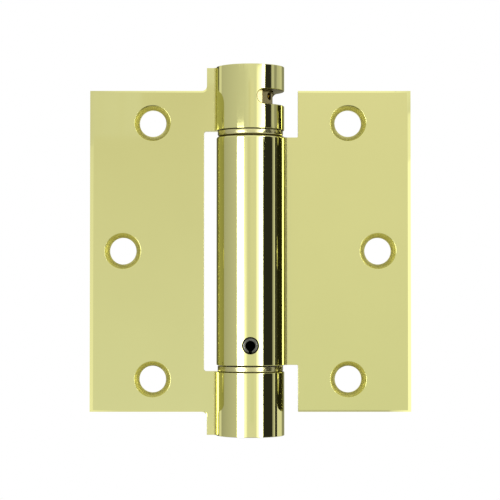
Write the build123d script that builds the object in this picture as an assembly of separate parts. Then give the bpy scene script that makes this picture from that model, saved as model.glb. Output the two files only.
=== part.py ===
from build123d import *
import os
from math import asin, degrees, radians, tan

# Square-corner spring hinge, open flat, in millimetres.
# The origin is on the pin axis at mid-height, +Z runs up the axis, the countersunk faces look
# towards -Y, the two-knuckle leaf lies on the -X side and the barrel leaf on the +X side.

# Leaves: two sheets stamped to the same size
LEAF_HEIGHT = 88.9
LEAF_REACH = 44.45  # from the pin axis to a leaf's outer edge
SHEET = 3.0
LEAF_GAP = 1.6  # between the front faces when the hinge is closed
EDGE_ROLL_WIDTH = 1.1  # the front edges are drawn down by the stamping
EDGE_ROLL_DEPTH = 0.3

# Screw holes: three staggered in each leaf, countersunk on the front
HOLE_DIAMETER = 7.4
SINK_DIAMETER = 10.0
SINK_ANGLE = 82.0
HOLE_END_MARGIN = 8.95  # end holes, from the leaf's top or bottom edge
HOLE_SIDE_MARGIN = 9.1  # middle hole, from the leaf's outer edge
HOLE_STAGGER = 8.25  # end holes, nearer to the axis than the middle one

# Knuckles and barrel: the sheet's edge rolled round the axis
BARREL_DIAMETER = 18.8
KNUCKLE_LENGTH = 17.5
KNUCKLE_OVERHANG = 6.35  # past the leaf's top and bottom edges
TOE_RADIUS = 1.4  # where the end of the roll lands on the front face
SWAGE_RADIUS = 2.5  # where the roll turns into the leaf's back face
SEAM_WIDTH = 0.15  # left open between the roll's end and the front face
RIM_BREAK = 0.25  # on the outer edges of the rolled ends
TAB_MARGIN = 2.65  # knuckle tab's outer edge, from the barrel's wall
WINDOW_MARGIN = 3.5  # two-knuckle leaf's edge beside the barrel
NOTCH_MARGIN = 3.8  # barrel leaf's edge beside a knuckle
TAB_CORNER = 1.4
WINDOW_CORNER = 0.7
NOTCH_CORNER = 0.4

# Tension slot, milled half-way up the upper knuckle
SLOT_HEIGHT = 4.1
SLOT_START = 24.3  # degrees from the front to the centre of the slot's first round end
SLOT_STOP = 127.4  # degrees from the front to the centre of its last round end

# Flanged bearings at both ends of the barrel
RING_THICKNESS = 1.6
RING_INSET = 0.35  # ring's edge inside the barrel's wall
RING_BREAK = 0.2
SLEEVE_LENGTH = 8.0
SLEEVE_WALL = 1.8

# Tension adjuster in the upper knuckle
ADJUSTER_CLEARANCE = 0.25  # head in the knuckle's bore
ADJUSTER_RECESS = 0.8  # below the knuckle's upper rim
ADJUSTER_BREAK = 0.5
SOCKET_ACROSS_FLATS = 4.8
SOCKET_DEPTH = 6.0
HEAD_SIDES = 12
HEAD_TURN = 31.6  # degrees from the front to a corner of the head
SET_HOLE_DIAMETER = 2.2
SET_HOLE_LIFT = 0.5  # above the middle of the slot
SET_HOLE_DEPTH = 3.0
SET_HOLE_COUNT = 4
SET_HOLE_START = 61.6  # degrees from the front

# Torsion spring, eight-sided wire in short straight lengths, with an inward tang at each end
WIRE = 2.4
WIRE_SIDES = 8
COIL_STEPS = 16  # straight lengths in a turn
COIL_SPACE = 1.3  # least space between turns
COIL_END_SPACE = 0.3
SPRING_CLEARANCE = 0.3  # outside in the barrel's bore, and inside round a nose
TANG_CLEARANCE = 0.3
NOSE_LENGTH = 4.0

# Spring anchor pinned in the barrel's lower end
ANCHOR_LENGTH = 12.0
JOURNAL_BREAK = 0.4
PIN_DIAMETER = 4.7
PIN_WALL = 1.05
PIN_SLIT = 0.8
PIN_HEIGHT = 5.6  # above the barrel's lower end
PIN_RECESS = 0.15
PIN_END_SPACE = 0.6

# Plug pressed into the lower knuckle's end
PLUG_LENGTH = 5.5
PLUG_RECESS = 0.4
PLUG_BREAK = 0.6

# Fits
RUNNING_GAP = 0.2  # end faces that turn past each other
RUNNING_CLEARANCE = 0.08  # journal in a sleeve, on the radius
PRESS_CLEARANCE = 0.02  # pressed pieces, on the radius

# Places worked out from the sizes above
BARREL_RADIUS = BARREL_DIAMETER / 2
BORE_RADIUS = BARREL_RADIUS - SHEET
FRONT_FACE = LEAF_GAP / 2
BACK_FACE = FRONT_FACE + SHEET
LEAF_HALF = LEAF_HEIGHT / 2
COLUMN_TOP = LEAF_HALF + KNUCKLE_OVERHANG
KNUCKLE_END = COLUMN_TOP - KNUCKLE_LENGTH
BARREL_END = KNUCKLE_END - RING_THICKNESS - RUNNING_GAP
SLOT_LEVEL = (COLUMN_TOP + KNUCKLE_END) / 2
TAB_EDGE = BARREL_RADIUS + TAB_MARGIN
WINDOW_EDGE = BARREL_RADIUS + WINDOW_MARGIN
NOTCH_EDGE = BARREL_RADIUS + NOTCH_MARGIN
PRESSED_RADIUS = BORE_RADIUS - PRESS_CLEARANCE
SLEEVE_BORE = PRESSED_RADIUS - SLEEVE_WALL
JOURNAL_RADIUS = SLEEVE_BORE - RUNNING_CLEARANCE
RING_RADIUS = BARREL_RADIUS - RING_INSET
SLEEVE_END = BARREL_END - SLEEVE_LENGTH
COIL_OUTSIDE = BORE_RADIUS - SPRING_CLEARANCE
COIL_RADIUS = COIL_OUTSIDE - WIRE / 2
NOSE_RADIUS = COIL_OUTSIDE - WIRE - SPRING_CLEARANCE
ANCHOR_TOP = -BARREL_END + ANCHOR_LENGTH
PIN_LEVEL = -BARREL_END + PIN_HEIGHT


def block(low, high):
    """A box between two corners."""
    size = [top - bottom for bottom, top in zip(low, high)]
    return Pos(*low) * Box(*size, align=(Align.MIN, Align.MIN, Align.MIN))


def turned(radius, low, high):
    """A cylinder on the pin axis, from one height to another."""
    return Pos(0, 0, low) * Cylinder(radius, high - low, align=(Align.CENTER, Align.CENTER, Align.MIN))


def rim(part, height, radius):
    """The round edges of a turned piece at one height and radius."""
    edges = part.edges().filter_by(GeomType.CIRCLE)
    return [e for e in edges if abs(e.center().Z - height) < 1e-4 and abs(e.radius - radius) < 1e-4]


def rolled_section(reach):
    """Section of a sheet rolled round the axis, with its flat running out to the given reach on +X."""
    roll = Rot(0, 0, 180) * Circle(BARREL_RADIUS)
    flat = Pos(0, FRONT_FACE) * Rectangle(reach, SHEET, align=(Align.MIN, Align.MIN))
    outline = roll + flat
    for level, radius in ((FRONT_FACE, TOE_RADIUS), (BACK_FACE, SWAGE_RADIUS)):
        inner_corner = [v for v in outline.vertices() if abs(v.Y - level) < 1e-4 and v.X < reach - 1e-4]
        outline = fillet(inner_corner, radius)
    seam_reach = BARREL_RADIUS + TOE_RADIUS
    seam = Pos(0, FRONT_FACE - SEAM_WIDTH) * Rectangle(seam_reach, SEAM_WIDTH, align=(Align.MIN, Align.MIN))
    return outline - Circle(BORE_RADIUS) - seam


def roll_tangent(corner_radius, corner_level):
    """Angle from +X, in degrees, where a corner of the given radius and centre height leaves the roll."""
    from_axis = BARREL_RADIUS + corner_radius
    return degrees(asin(corner_level / from_axis))


def rim_cutter(end, way):
    """Cutter that breaks the roll's outer edge at one end, from the swage round to the toe."""
    corner = (BARREL_RADIUS + RIM_BREAK, end + way * RIM_BREAK)
    inside = (BARREL_RADIUS - 2 * RIM_BREAK, end + way * RIM_BREAK)
    below = (BARREL_RADIUS + RIM_BREAK, end - 2 * way * RIM_BREAK)
    section = Plane.XZ * make_face(Polyline(corner, inside, below, close=True))
    start = roll_tangent(SWAGE_RADIUS, BACK_FACE + SWAGE_RADIUS)
    stop = 360 + roll_tangent(TOE_RADIUS, FRONT_FACE - TOE_RADIUS)
    return Rot(0, 0, start) * revolve(section, Axis.Z, stop - start)


def rolled_length(reach, low, high):
    """A rolled stretch of sheet between two heights, its outer edges broken at both ends."""
    length = extrude(Pos(0, 0, low) * rolled_section(reach), high - low)
    return length - rim_cutter(low, -1) - rim_cutter(high, 1)


def screw_hole():
    """Cutter for a countersunk hole along Y, its mouth in the leaf's front face."""
    sink_depth = (SINK_DIAMETER - HOLE_DIAMETER) / 2 / tan(radians(SINK_ANGLE / 2))
    through = Cylinder(HOLE_DIAMETER / 2, 2 * SHEET, rotation=(90, 0, 0))
    sink = Cone(HOLE_DIAMETER / 2, SINK_DIAMETER / 2, sink_depth, rotation=(90, 0, 0))
    return Pos(0, BACK_FACE) * through + Pos(0, FRONT_FACE + sink_depth / 2) * sink


def hole_places():
    """Distances from the axis and heights of a leaf's three screw holes."""
    middle = LEAF_REACH - HOLE_SIDE_MARGIN
    end = LEAF_HALF - HOLE_END_MARGIN
    return [(middle - HOLE_STAGGER, end), (middle, 0), (middle - HOLE_STAGGER, -end)]


def leaf_flat(outline):
    """A leaf's flat from its outline, with drawn-down front edges and screw holes."""
    flat = extrude(Plane.XZ.offset(-BACK_FACE) * outline, SHEET)
    front = flat.faces().sort_by(Axis.Y)[0]
    outer = [
        edge
        for edge in front.edges()
        if abs(edge.center().X - LEAF_REACH) < 1e-4 or abs(abs(edge.center().Z) - LEAF_HALF) < 1e-4
    ]
    flat = chamfer(outer, EDGE_ROLL_WIDTH, EDGE_ROLL_DEPTH, reference=front)
    for distance, height in hole_places():
        flat -= Pos(distance, 0, height) * screw_hole()
    return flat


def corner_rounded(outline, corners, radius):
    """An outline with the named inner corners rounded."""
    chosen = [
        v
        for v in outline.vertices()
        if any(abs(v.X - x) < 1e-4 and abs(v.Y - y) < 1e-4 for x, y in corners)
    ]
    return fillet(chosen, radius)


def tension_slot():
    """Cutter for the slot round the upper knuckle, with round ends, open towards +X."""
    depth = 2 * BARREL_RADIUS
    section = Pos(depth / 2, SLOT_LEVEL) * Rectangle(depth, SLOT_HEIGHT)
    band = revolve(Plane.XZ * section, Axis.Z, SLOT_STOP - SLOT_START)
    slot = Rot(0, 0, SLOT_START - 90) * band
    for angle in (SLOT_START, SLOT_STOP):
        round_end = Cylinder(
            SLOT_HEIGHT / 2, depth, rotation=(90, 0, 0), align=(Align.CENTER, Align.CENTER, Align.MIN)
        )
        slot += Rot(0, 0, angle) * Pos(0, 0, SLOT_LEVEL) * round_end
    return slot


def two_knuckle_leaf():
    """The leaf with a knuckle at each end, built on +X and mirrored to its own side."""
    outline = Pos(WINDOW_EDGE, 0) * Rectangle(
        LEAF_REACH - WINDOW_EDGE, LEAF_HEIGHT, align=(Align.MIN, Align.CENTER)
    )
    tab_start = BARREL_RADIUS + TOE_RADIUS
    for way in (1, -1):
        tab_middle = way * (COLUMN_TOP + KNUCKLE_END) / 2
        tab = Rectangle(TAB_EDGE - tab_start, KNUCKLE_LENGTH, align=(Align.MIN, Align.CENTER))
        neck_height = LEAF_HALF - KNUCKLE_END
        neck = Rectangle(WINDOW_EDGE - tab_start, neck_height, align=(Align.MIN, Align.CENTER))
        outline += Pos(tab_start, tab_middle) * tab
        outline += Pos(tab_start, way * (LEAF_HALF + KNUCKLE_END) / 2) * neck
    outline = corner_rounded(outline, [(TAB_EDGE, LEAF_HALF), (TAB_EDGE, -LEAF_HALF)], TAB_CORNER)
    outline = corner_rounded(outline, [(WINDOW_EDGE, KNUCKLE_END), (WINDOW_EDGE, -KNUCKLE_END)], WINDOW_CORNER)
    leaf = leaf_flat(outline)
    leaf += rolled_length(TAB_EDGE, KNUCKLE_END, COLUMN_TOP)
    leaf += rolled_length(TAB_EDGE, -COLUMN_TOP, -KNUCKLE_END)
    return mirror(leaf, Plane.YZ) - tension_slot()


def barrel_leaf():
    """The leaf rolled into the long barrel, with a hole for the roll pin in the barrel's front."""
    outline = Pos(NOTCH_EDGE, 0) * Rectangle(
        LEAF_REACH - NOTCH_EDGE, LEAF_HEIGHT, align=(Align.MIN, Align.CENTER)
    )
    strip_start = BARREL_RADIUS + TOE_RADIUS
    outline += Pos(strip_start, 0) * Rectangle(
        NOTCH_EDGE - strip_start, 2 * BARREL_END, align=(Align.MIN, Align.CENTER)
    )
    outline = corner_rounded(outline, [(NOTCH_EDGE, BARREL_END), (NOTCH_EDGE, -BARREL_END)], NOTCH_CORNER)
    leaf = leaf_flat(outline) + rolled_length(NOTCH_EDGE - NOTCH_CORNER, -BARREL_END, BARREL_END)
    pin_hole = Cylinder(
        PIN_DIAMETER / 2 + PRESS_CLEARANCE,
        2 * BARREL_RADIUS,
        rotation=(90, 0, 0),
        align=(Align.CENTER, Align.CENTER, Align.MIN),
    )
    return leaf - Pos(0, 0, PIN_LEVEL) * pin_hole


def flanged_bearing(flange_low, sleeve_low, sleeve_high):
    """A bearing ring with a sleeve on one side of it, bored for a journal."""
    flange_high = flange_low + RING_THICKNESS
    ring = turned(RING_RADIUS, flange_low, flange_high)
    for end in (flange_low, flange_high):
        ring = chamfer(rim(ring, end, RING_RADIUS), RING_BREAK)
    sleeve = turned(PRESSED_RADIUS, sleeve_low, sleeve_high)
    return ring + sleeve - turned(SLEEVE_BORE, -COLUMN_TOP, COLUMN_TOP)


def upper_bearing():
    """The bearing pressed into the barrel's upper end."""
    return flanged_bearing(BARREL_END, SLEEVE_END, BARREL_END)


def lower_bearing():
    """The bearing pressed into the lower knuckle."""
    return flanged_bearing(-KNUCKLE_END, -KNUCKLE_END - SLEEVE_LENGTH, -KNUCKLE_END)


def forked_nose(low, high):
    """A nose inside the spring's end turn, slotted across along X for the spring's tang."""
    slot_width = WIRE + TANG_CLEARANCE
    slot = block((-NOSE_RADIUS, -slot_width / 2, low), (NOSE_RADIUS, slot_width / 2, high))
    return turned(NOSE_RADIUS, low, high) - slot


def tension_adjuster():
    """The many-sided head in the upper knuckle, with a hex socket, setting holes, a journal and a forked nose."""
    head_radius = BORE_RADIUS - ADJUSTER_CLEARANCE
    head_top = COLUMN_TOP - ADJUSTER_RECESS
    head_outline = Rot(0, 0, HEAD_TURN - 90) * RegularPolygon(head_radius, HEAD_SIDES)
    head = extrude(Pos(0, 0, KNUCKLE_END) * head_outline, head_top - KNUCKLE_END)
    head = chamfer(head.faces().sort_by(Axis.Z)[-1].edges(), ADJUSTER_BREAK)
    socket_outline = RegularPolygon(SOCKET_ACROSS_FLATS / 2, 6, major_radius=False)
    head -= extrude(Pos(0, 0, head_top - SOCKET_DEPTH) * socket_outline, SOCKET_DEPTH)
    for number in range(SET_HOLE_COUNT):
        angle = SET_HOLE_START + 360 / SET_HOLE_COUNT * number
        set_hole = Cylinder(SET_HOLE_DIAMETER / 2, 2 * SET_HOLE_DEPTH, rotation=(90, 0, 0))
        head -= Rot(0, 0, angle) * Pos(0, -head_radius, SLOT_LEVEL + SET_HOLE_LIFT) * set_hole
    journal = turned(JOURNAL_RADIUS, SLEEVE_END, KNUCKLE_END)
    return head + journal + forked_nose(SLEEVE_END - NOSE_LENGTH, SLEEVE_END)


def torsion_spring():
    """A left-hand coil of wire, as many turns as fit, with a tang across the axis at each end."""
    low = ANCHOR_TOP + COIL_END_SPACE + WIRE / 2
    high = SLEEVE_END - COIL_END_SPACE - WIRE / 2
    turns = int((high - low) // (WIRE + COIL_SPACE))
    steps = turns * COIL_STEPS
    points = [
        Vector(COIL_RADIUS, 0, low + (high - low) * step / steps).rotate(Axis.Z, -360 * step / COIL_STEPS)
        for step in range(steps + 1)
    ]
    path = Polyline(*points)
    wire = RegularPolygon(WIRE / 2, WIRE_SIDES)
    coil = sweep(Plane(path @ 0, z_dir=path % 0) * wire, path, transition=Transition.RIGHT)
    for level in (low, high):
        tang_start = Plane((COIL_RADIUS, 0, level), z_dir=(-1, 0, 0))
        coil += extrude(tang_start * wire, COIL_RADIUS + NOSE_RADIUS)
    return coil


def spring_anchor():
    """The plug that holds the spring's lower tang, cross-drilled for the roll pin, with the lower journal."""
    body = turned(PRESSED_RADIUS, -BARREL_END, ANCHOR_TOP)
    journal_end = -KNUCKLE_END - SLEEVE_LENGTH
    journal = turned(JOURNAL_RADIUS, journal_end, -BARREL_END)
    journal = chamfer(rim(journal, journal_end, JOURNAL_RADIUS), JOURNAL_BREAK)
    pin_hole = Cylinder(PIN_DIAMETER / 2 + PRESS_CLEARANCE, 2 * BARREL_RADIUS, rotation=(90, 0, 0))
    anchor = body + journal + forked_nose(ANCHOR_TOP, ANCHOR_TOP + NOSE_LENGTH)
    return anchor - Pos(0, 0, PIN_LEVEL) * pin_hole


def roll_pin():
    """The rolled pin through the barrel's front and the anchor, its slit facing down."""
    outer = PIN_DIAMETER / 2
    section = Circle(outer) - Circle(outer - PIN_WALL)
    section -= Pos(0, -outer) * Rectangle(PIN_SLIT, 2 * outer)
    start = BARREL_RADIUS - PIN_RECESS
    length = start + PRESSED_RADIUS - PIN_END_SPACE
    return extrude(Plane((0, -start, PIN_LEVEL), x_dir=(1, 0, 0), z_dir=(0, -1, 0)) * section, -length)


def bottom_plug():
    """The plug that closes the lower knuckle."""
    low = -COLUMN_TOP + PLUG_RECESS
    plug = turned(PRESSED_RADIUS, low, low + PLUG_LENGTH)
    return chamfer(rim(plug, low, PRESSED_RADIUS), PLUG_BREAK)


PIECES = (
    two_knuckle_leaf,
    barrel_leaf,
    upper_bearing,
    lower_bearing,
    tension_adjuster,
    torsion_spring,
    spring_anchor,
    roll_pin,
    bottom_plug,
)

os.makedirs("parts", exist_ok=True)
for piece in PIECES:
    export_step(piece(), f"parts/{piece.__name__}.step")
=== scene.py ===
"""Dresses a square-corner spring hinge in polished brass on a white stage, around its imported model."""
from math import acos, asin, atan2, ceil, copysign, cos, hypot, pi, radians, sin, sqrt, tan

import bmesh
import bpy
from bpy.props import FloatProperty, FloatVectorProperty, IntProperty, PointerProperty
from mathutils import Matrix, Vector


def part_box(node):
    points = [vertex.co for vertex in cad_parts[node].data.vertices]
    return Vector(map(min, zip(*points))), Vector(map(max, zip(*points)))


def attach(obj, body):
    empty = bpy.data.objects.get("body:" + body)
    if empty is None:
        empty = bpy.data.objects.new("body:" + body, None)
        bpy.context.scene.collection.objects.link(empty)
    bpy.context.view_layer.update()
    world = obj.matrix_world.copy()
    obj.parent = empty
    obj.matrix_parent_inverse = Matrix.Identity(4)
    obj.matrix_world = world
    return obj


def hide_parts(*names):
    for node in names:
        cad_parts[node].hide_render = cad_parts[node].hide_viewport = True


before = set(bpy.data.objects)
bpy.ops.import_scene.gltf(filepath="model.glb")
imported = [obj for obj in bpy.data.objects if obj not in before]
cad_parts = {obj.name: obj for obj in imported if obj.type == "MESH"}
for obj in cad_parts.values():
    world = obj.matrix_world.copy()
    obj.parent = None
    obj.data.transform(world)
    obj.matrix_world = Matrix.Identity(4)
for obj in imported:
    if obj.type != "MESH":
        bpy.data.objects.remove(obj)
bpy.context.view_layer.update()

bl_info = {
    "name": "Spring hinge",
    "version": (1, 0, 0),
    "blender": (4, 5, 0),
    "location": "View3D > Sidebar > Hinge",
    "description": "Builds the visible pieces of a spring hinge and the stage it is shown on",
    "category": "Object",
}

MM = 0.001
QUARTER = pi / 2  # lean at the end of a full rounding
NEAR = 1e-7  # points closer than this are one point, in metres
SHARP_ANGLE = radians(28)  # edges that turn by less are shaded as one surface
MITRE_TURN = 0.5  # sine of the turn past which an outline's corner is mitred

TURN_STEPS = 240  # facets round a turned or rolled surface
ROLL_STEPS = 6  # facets across a rounded edge
SWAGE_STEPS = 12  # facets where the roll turns into the back face
TOE_STEPS = 8  # facets where the roll's end lands on the front face
SLOT_END_STEPS = 12  # facets across half of the slot's round end
SLOT_STEPS = 90  # facets along the slot
PIN_STEPS = 72  # facets round the roll pin
COIL_STEPS = 48  # lengths in a turn of the coil
WIRE_SIDES = 14  # facets round the wire
CARD_STEPS = 12  # facets along a curved card
DISC_STEPS = 64  # corners of a disc

FRONT = 0.8 * MM  # from the pin axis back to the leaves' front faces
SHEET = 3.0 * MM  # thickness of the leaves
RING = 1.6 * MM  # thickness of the bearing rings
TUCK = 0.01 * MM  # how far a rolled length lies inside the flat it joins, so that no two faces coincide
PLAIN_BREAK = 0.02 * MM  # rounding of a rolled length's edges beside its seam and its flat
PIN_GAP = 0.02 * MM  # clearance round the roll pin
DULL_AND_SHADE_EDGE = 0.06 * MM  # width over which the polish fades into a dull face, and the painted shade inside the barrel's radius fades in
FLAT_START = 0.8  # share of the barrel's radius where a leaf's flat starts, inside the roll's wall
CUTTER_START = 0.8  # share of the bore's radius where the slot's cutter starts
DRAWN_STRAIGHT = 0.7  # share of a drawn-down edge that runs straight
SEAM_REACH = 3  # depths of the seam's step, up to which rims stay plain beside it
FINER = 7.0  # how much finer the clear and cloudy places are than the drift in tone
CLEAR, CLOUDY = 0.8, 1.25  # shares of a finish's roughness at its clearest and cloudiest

LEFT_SOFTBOX = (-45, -22)  # azimuths of the left softbox
LEFT_FADE = (-22, -9.5)  # azimuths of its soft edge
FADE_SPLIT = -0.1  # height from which that edge dims
FADE_START = 0.3  # share of the softbox's level where that edge starts

KNUCKLE_LEAF_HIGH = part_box("two_knuckle_leaf")[1]
BARREL_LEAF_LOW, BARREL_LEAF_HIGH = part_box("barrel_leaf")
UPPER_RING_LOW, UPPER_RING_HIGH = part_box("upper_bearing")
LOWER_RING_LOW, LOWER_RING_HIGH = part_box("lower_bearing")
ADJUSTER_LOW, ADJUSTER_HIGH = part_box("tension_adjuster")
SPRING_LOW, SPRING_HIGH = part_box("torsion_spring")
PIN_LOW, PIN_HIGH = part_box("roll_pin")
PLUG_LOW, PLUG_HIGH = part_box("bottom_plug")


def setting(name, description, default, **kind):
    """A number that a user can change, with its unit, subtype or limits."""
    return FloatProperty(name=name, description=description, default=default, **kind)


def length(name, description, default):
    """A size in metres."""
    return setting(name, description, default, precision=5, unit="LENGTH")


def turn(name, description, default):
    """An angle, stated in degrees."""
    return setting(name, description, radians(default), subtype="ANGLE")


def share(name, description, default):
    """A share between none and all."""
    return setting(name, description, default, min=0, max=1, subtype="FACTOR")


def level(name, description, default):
    """A light level, where 1 is white."""
    return setting(name, description, default, min=0)


def tally(name, description, default, least=1):
    """A whole number."""
    return IntProperty(name=name, description=description, default=default, min=least)


def colour(name, description, default):
    """A colour in linear light."""
    return FloatVectorProperty(
        name=name, description=description, default=default, min=0, max=1, subtype="COLOR"
    )


class HingeSheetSizes(bpy.types.PropertyGroup):
    """Sizes of the two stamped and rolled leaves"""

    reach: length("Leaf reach", "From the pin axis to a leaf's outer edge", BARREL_LEAF_HIGH.x)
    half_height: length("Leaf half height", "From mid-height to a leaf's end", BARREL_LEAF_HIGH.z)
    column_top: length("Column top", "From mid-height to the knuckle column's end", KNUCKLE_LEAF_HIGH.z)
    barrel_radius: length("Barrel radius", "Outside of the rolled sheet", -BARREL_LEAF_LOW.x)
    sheet: length("Sheet", "Thickness of the leaves", SHEET)
    front: length("Front face", "From the pin axis back to the leaves' front faces", FRONT)
    knuckle_length: length("Knuckle length", "Length of each short knuckle", 17.5 * MM)
    barrel_end: length("Barrel end", "From mid-height to the long barrel's end", UPPER_RING_HIGH.z - RING)
    tab_edge: length("Tab edge", "From the axis to the knuckle tab's outer edge", 12.05 * MM)
    window_edge: length("Window edge", "From the axis to the left leaf's edge beside the barrel", 12.9 * MM)
    notch_edge: length("Notch edge", "From the axis to the right leaf's edge beside a knuckle", 13.2 * MM)
    tab_corner: length("Tab corner", "Inner corner between tab and leaf end", 1.4 * MM)
    window_corner: length("Window corner", "Inner corners of the window", 0.7 * MM)
    notch_corner: length("Notch corner", "Inner corners of the notches", 0.4 * MM)
    roll_width: length("Edge roll width", "How far in the stamping draws the side edges down", 1.1 * MM)
    end_roll_width: length("End roll width", "How far in the stamping draws the end edges down", 0.55 * MM)
    knuckle_leaf_lean: turn("Knuckle leaf lean", "How far the left leaf's drawn-down edges lean", 1.8)
    barrel_leaf_lean: turn("Barrel leaf lean", "How far the right leaf's drawn-down edges lean", 8)
    edge_break: length("Edge break", "Rounding of the other sheet edges", 0.04 * MM)
    rim_break: length("Rim break", "Rounding of the knuckles' ends", 0.14 * MM)
    barrel_break: length("Barrel break", "Rounding of the long barrel's upper end", 0.6 * MM)
    barrel_foot: length("Barrel foot", "Rounding of the long barrel's lower end", 0.3 * MM)
    toe_radius: length("Toe radius", "Where the roll's end lands on the front face", 1.4 * MM)
    swage_radius: length("Swage radius", "Where the roll turns into the back face", 2.5 * MM)
    seam: length("Seam", "Gap between the roll's end and the front face", 0.15 * MM)
    hole_radius: length("Hole radius", "Screw hole", 3.7 * MM)
    sink_radius: length("Countersink radius", "Countersink at the front face", 5.0 * MM)
    sink_angle: turn("Countersink angle", "Whole angle of the countersink", 82)
    hole_lip: length("Hole lip", "Rounding of the countersink's mouth", 0.03 * MM)
    hole_distance: length("Middle hole", "From the axis to the middle screw hole", 35.35 * MM)
    hole_stagger: length("Hole stagger", "End holes, nearer to the axis than the middle one", 8.25 * MM)
    hole_height: length("End holes", "From mid-height to the end screw holes", 35.5 * MM)
    slot_height: length("Slot height", "Height of the tension slot", 4.1 * MM)
    slot_break: length("Slot break", "Broken outer edge of the tension slot", 0.18 * MM)
    slot_start: turn("Slot start", "From the front to the centre of the slot's first round end", 24.3)
    slot_stop: turn("Slot stop", "From the front to the centre of the slot's last round end", 127.4)


class HingeTurnedSizes(bpy.types.PropertyGroup):
    """Sizes of the turned pieces, the coil and the roll pin"""

    ring_radius: length("Ring radius", "Outside of the bearing rings", UPPER_RING_HIGH.x)
    ring_thickness: length("Ring thickness", "Bearing rings between barrel and knuckles", RING)
    ring_break: length("Ring break", "Rounding of the rings' edges", 0.1 * MM)
    ring_neck: length("Ring neck", "Rounding of the upper ring's edge beside the barrel", 0.75 * MM)
    ring_foot: length("Ring foot", "Rounding of the lower ring's edge above the knuckle", 0.45 * MM)
    sleeve_radius: length("Sleeve radius", "Outside of the bearing sleeves", PLUG_HIGH.x)
    sleeve_bore: length("Sleeve bore", "Inside of the bearing sleeves", 4.58 * MM)
    journal_radius: length("Journal radius", "Journal of the adjuster", 4.5 * MM)
    journal_low: length("Journal low end", "Height of the adjuster journal's lower end", UPPER_RING_LOW.z)
    nose_radius: length("Nose radius", "Forked nose inside the coil's end", 3.4 * MM)
    head_low: length("Head low end", "Height of the adjuster head's lower end", 33.3 * MM)
    head_break: length("Head break", "Rounding of the adjuster head's upper edge", 0.5 * MM)
    socket_flats: length("Socket", "Hex socket across its flats", 4.8 * MM)
    socket_depth: length("Socket depth", "Depth of the hex socket", 6.0 * MM)
    head_radius: length("Head radius", "From the axis to the adjuster head's corners", 6.15 * MM)
    head_sides: tally("Head sides", "Flats round the adjuster head", 12, least=3)
    head_turn: turn("Head turn", "From the front to a corner of the adjuster head", 31.6)
    set_hole_radius: length("Setting hole radius", "Holes for a tension pin", 1.1 * MM)
    set_hole_depth: length("Setting hole depth", "Depth of the setting holes", 3.0 * MM)
    set_hole_level: length("Setting hole height", "Height of the setting holes", 42.55 * MM)
    set_hole_start: turn("Setting hole start", "From the front to the first setting hole", 61.6)
    set_hole_count: tally("Setting holes", "Number of setting holes", 4)
    tang_slot: length("Tang slot", "Slot across a nose for the coil's tang", 2.7 * MM)
    wire_radius: length("Wire radius", "Half the spring wire's thickness", 1.2 * MM)
    coil_radius: length("Coil radius", "From the axis to the middle of the wire", 4.9 * MM)
    coil_turns: tally("Coil turns", "Turns of the spring", 10)
    pin_radius: length("Pin radius", "Outside of the roll pin", PIN_HIGH.x)
    pin_wall: length("Pin wall", "Strip that the roll pin is rolled from", 1.05 * MM)
    pin_slit: length("Pin slit", "Gap along the roll pin", 0.8 * MM)
    pin_break: length("Pin break", "Rounding of the roll pin's ends on the outside", 0.75 * MM)
    pin_bore_break: length("Pin bore break", "Rounding of the pin's ends inside and at the slit", 0.08 * MM)
    plug_break: length("Plug break", "Rounding of the bottom plug's edge", 0.6 * MM)


class HingeFinishes(bpy.types.PropertyGroup):
    """Colours and gloss of the hinge's finishes, and the painted shade on the leaves' faces inside the
    barrel
    """

    brass: colour("Bright brass", "Polished and lacquered plating of the leaves", (0.66, 0.645, 0.275))
    brass_roughness: share("Brass roughness", "Blur of the plating's reflections", 0.04)
    # These faces are sheared and rolled-in, and their near-black colour is painted shade on the bore, the
    # seam, the slot's walls, the pin hole and the rolled ends
    sheared_painted_shade: colour("Sheared brass", "Sheared and rolled-in faces of the sheet", (0.13, 0.11, 0.04))
    crevice: colour("Crevice brass", "Unpolished crevice beside the roll's end", (0.72, 0.68, 0.26))
    crevice_roughness: share("Crevice roughness", "Blur of the crevice's reflections", 0.3)
    cut: colour("Cut brass", "Cut edges and countersinks of the sheet", (0.64, 0.61, 0.25))
    cut_roughness: share("Cut roughness", "Blur of the cut faces' reflections", 0.25)
    sheared_roughness: share("Sheared roughness", "Blur of the sheared faces' reflections", 0.45)
    bearing: colour("Bearing brass", "Turned bearing rings", (0.57, 0.54, 0.26))
    bearing_roughness: share("Bearing roughness", "Blur of the rings' reflections", 0.2)
    adjuster: colour("Adjuster brass", "Turned adjuster, darker than the leaves", (0.5, 0.43, 0.2))
    adjuster_roughness: share("Adjuster roughness", "Blur of the adjuster's reflections", 0.16)
    spring: colour("Spring steel", "Oiled spring wire", (0.22, 0.22, 0.23))
    spring_roughness: share("Spring roughness", "Blur of the wire's reflections", 0.35)
    pin: colour("Pin steel", "Rolled spring pin and anchor", (0.1, 0.1, 0.085))
    pin_roughness: share("Pin roughness", "Blur of the pin's reflections", 0.3)


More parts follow.
